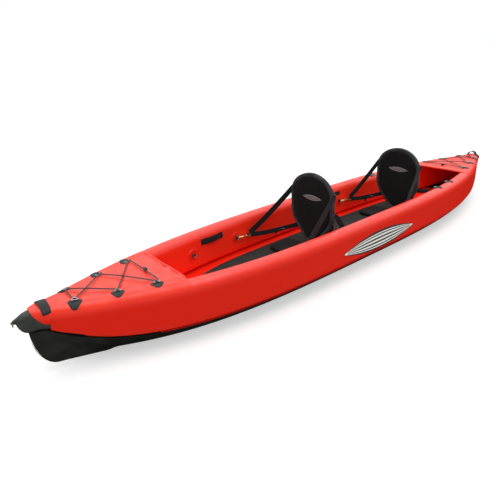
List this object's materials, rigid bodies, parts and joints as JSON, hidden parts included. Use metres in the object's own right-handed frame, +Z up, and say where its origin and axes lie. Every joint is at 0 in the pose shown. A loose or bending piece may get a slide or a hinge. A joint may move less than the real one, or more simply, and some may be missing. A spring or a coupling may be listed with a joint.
{
  "type": "inflatable kayak",
  "caption": "Long two-seat inflatable kayak with drop-stitch walls and floor, laced decks, moulded noses, and folding strapped seats.",
  "frame": {"origin": "middle of the flat bottom that the kayak rests on", "axes": "+X points to the bow, +Y to port, +Z up"},
  "size_m": [4.2, 0.7748, 0.612],
  "materials": {
    "wall_pvc": "satin",
    "deck_pvc": "satin",
    "floor_pvc": "matt",
    "nose_rubber": "satin",
    "mat_foam": "matt",
    "badge_film": "satin",
    "patch_pvc": "satin",
    "ring_steel": "satin",
    "tip_ring_coated": "satin",
    "shock_cord": "woven",
    "fitting_plastic": "satin",
    "webbing": "woven",
    "plunger_plastic": "satin",
    "valve_plastic": "matt",
    "hook_brass": "polished",
    "seat_fabric": "padded"
  },
  "bodies": {
    "hull": {"floor_chamber": "floor_pvc", "port_side_chamber": "wall_pvc", "starboard_side_chamber": "wall_pvc", "bow_deck": "deck_pvc", "stern_deck": "deck_pvc", "cockpit_coamings": "deck_pvc", "bow_nose_cone": "nose_rubber", "stern_nose_cone": "nose_rubber", "bow_keel_guard": "nose_rubber", "stern_keel_guard": "nose_rubber", "floor_mat": "mat_foam", "side_badges": "badge_film", "deck_patches": "patch_pvc", "deck_rings": "ring_steel", "gunwale_patches": "patch_pvc", "gunwale_rings": "ring_steel", "wall_patches": "deck_pvc", "seat_anchor_rings": "ring_steel", "bow_bungee": "shock_cord", "stern_bungee": "shock_cord", "bungee_toggles": "fitting_plastic", "bow_handle": "webbing", "stern_handle": "webbing", "wall_handles": "webbing", "floor_valve_body": "valve_plastic", "port_valve_body": "valve_plastic", "starboard_valve_body": "valve_plastic", "front_seat_base": "seat_fabric", "front_port_strap": "webbing", "front_starboard_strap": "webbing", "front_back_straps": "webbing", "rear_seat_base": "seat_fabric", "rear_port_strap": "webbing", "rear_starboard_strap": "webbing", "rear_back_straps": "webbing", "front_adjusters": "fitting_plastic", "rear_adjusters": "fitting_plastic", "seat_hooks": "hook_brass"},
    "front_back": {"front_backrest": "seat_fabric", "front_seat_bag": "seat_fabric", "front_buckles": "fitting_plastic"},
    "rear_back": {"rear_backrest": "seat_fabric", "rear_seat_bag": "seat_fabric", "rear_buckles": "fitting_plastic"},
    "floor_cap": {"floor_valve_cap": "valve_plastic"},
    "floor_plunger": {"floor_valve_plunger": "plunger_plastic"},
    "port_cap": {"port_valve_cap": "valve_plastic"},
    "port_plunger": {"port_valve_plunger": "plunger_plastic"},
    "starboard_cap": {"starboard_valve_cap": "valve_plastic"},
    "starboard_plunger": {"starboard_valve_plunger": "plunger_plastic"},
    "front_port_gate": {"front_port_gate": "hook_brass"},
    "front_starboard_gate": {"front_starboard_gate": "hook_brass"},
    "rear_port_gate": {"rear_port_gate": "hook_brass"},
    "rear_starboard_gate": {"rear_starboard_gate": "hook_brass"},
    "bow_tip_ring": {"bow_tip_ring": "tip_ring_coated"},
    "stern_tip_ring": {"stern_tip_ring": "tip_ring_coated"},
    "port_foot_ring": {"port_foot_ring": "ring_steel"},
    "starboard_foot_ring": {"starboard_foot_ring": "ring_steel"}
  },
  "joints": [
    {"name": "front_backrest_fold", "type": "hinge", "parent": "hull", "child": "front_back", "pos_m": [0.205, 0, 0.1586], "axis": [0, 1, 0], "range_deg": [-20, 80], "deforming": ["front_port_strap", "front_starboard_strap", "front_back_straps", "front_adjusters"]},
    {"name": "rear_backrest_fold", "type": "hinge", "parent": "hull", "child": "rear_back", "pos_m": [-0.76, 0, 0.1586], "axis": [0, 1, 0], "range_deg": [-20, 80], "deforming": ["rear_port_strap", "rear_starboard_strap", "rear_back_straps", "rear_adjusters"]},
    {"name": "floor_valve_cap_turn", "type": "hinge", "parent": "hull", "child": "floor_cap", "pos_m": [-1.24, 0, 0.1003], "axis": [0, 0, 1], "range_deg": [0, 90]},
    {"name": "floor_valve_push", "type": "slide", "parent": "hull", "child": "floor_plunger", "axis": [0, 0, -1], "range_m": [0, 0.005], "stiffness_N_per_m": 500, "springref_m": -0.002},
    {"name": "port_valve_cap_turn", "type": "hinge", "parent": "hull", "child": "port_cap", "pos_m": [-1.28, 0.20109, 0.215], "axis": [0.2098, -0.9777, 0], "range_deg": [0, 90]},
    {"name": "port_valve_push", "type": "slide", "parent": "hull", "child": "port_plunger", "axis": [-0.2098, 0.9777, 0], "range_m": [0, 0.005], "stiffness_N_per_m": 500, "springref_m": -0.002},
    {"name": "starboard_valve_cap_turn", "type": "hinge", "parent": "hull", "child": "starboard_cap", "pos_m": [-1.28, -0.20109, 0.215], "axis": [0.2098, 0.9777, 0], "range_deg": [0, 90]},
    {"name": "starboard_valve_push", "type": "slide", "parent": "hull", "child": "starboard_plunger", "axis": [-0.2098, -0.9777, 0], "range_m": [0, 0.005], "stiffness_N_per_m": 500, "springref_m": -0.002},
    {"name": "front_port_gate_open", "type": "hinge", "parent": "hull", "child": "front_port_gate", "pos_m": [0.59512, 0.25198, 0.221], "axis": [0, 0, -1], "range_deg": [0, 15], "stiffness_Nm_per_rad": 0.05, "springref_deg": -11.46},
    {"name": "front_starboard_gate_open", "type": "hinge", "parent": "hull", "child": "front_starboard_gate", "pos_m": [0.59512, -0.25198, 0.221], "axis": [0, 0, 1], "range_deg": [0, 15], "stiffness_Nm_per_rad": 0.05, "springref_deg": -11.46},
    {"name": "rear_port_gate_open", "type": "hinge", "parent": "hull", "child": "rear_port_gate", "pos_m": [-0.4505, 0.25579, 0.221], "axis": [0, 0, -1], "range_deg": [0, 15], "stiffness_Nm_per_rad": 0.05, "springref_deg": -11.46},
    {"name": "rear_starboard_gate_open", "type": "hinge", "parent": "hull", "child": "rear_starboard_gate", "pos_m": [-0.4505, -0.25579, 0.221], "axis": [0, 0, 1], "range_deg": [0, 15], "stiffness_Nm_per_rad": 0.05, "springref_deg": -11.46},
    {"name": "bow_tip_ring_swing", "type": "hinge", "parent": "hull", "child": "bow_tip_ring", "pos_m": [2.094, 0, 0.32858], "axis": [0, -1, 0], "range_deg": [0, 120]},
    {"name": "stern_tip_ring_swing", "type": "hinge", "parent": "hull", "child": "stern_tip_ring", "pos_m": [-2.094, 0, 0.31499], "axis": [0, 1, 0], "range_deg": [0, 120]},
    {"name": "port_foot_ring_swing", "type": "hinge", "parent": "hull", "child": "port_foot_ring", "pos_m": [1.00817, 0.23143, 0.221], "axis": [-0.9925, 0.1222, 0], "range_deg": [0, 150]},
    {"name": "starboard_foot_ring_swing", "type": "hinge", "parent": "hull", "child": "starboard_foot_ring", "pos_m": [1.00817, -0.23143, 0.221], "axis": [0.9925, 0.1222, 0], "range_deg": [0, 150]}
  ]
}
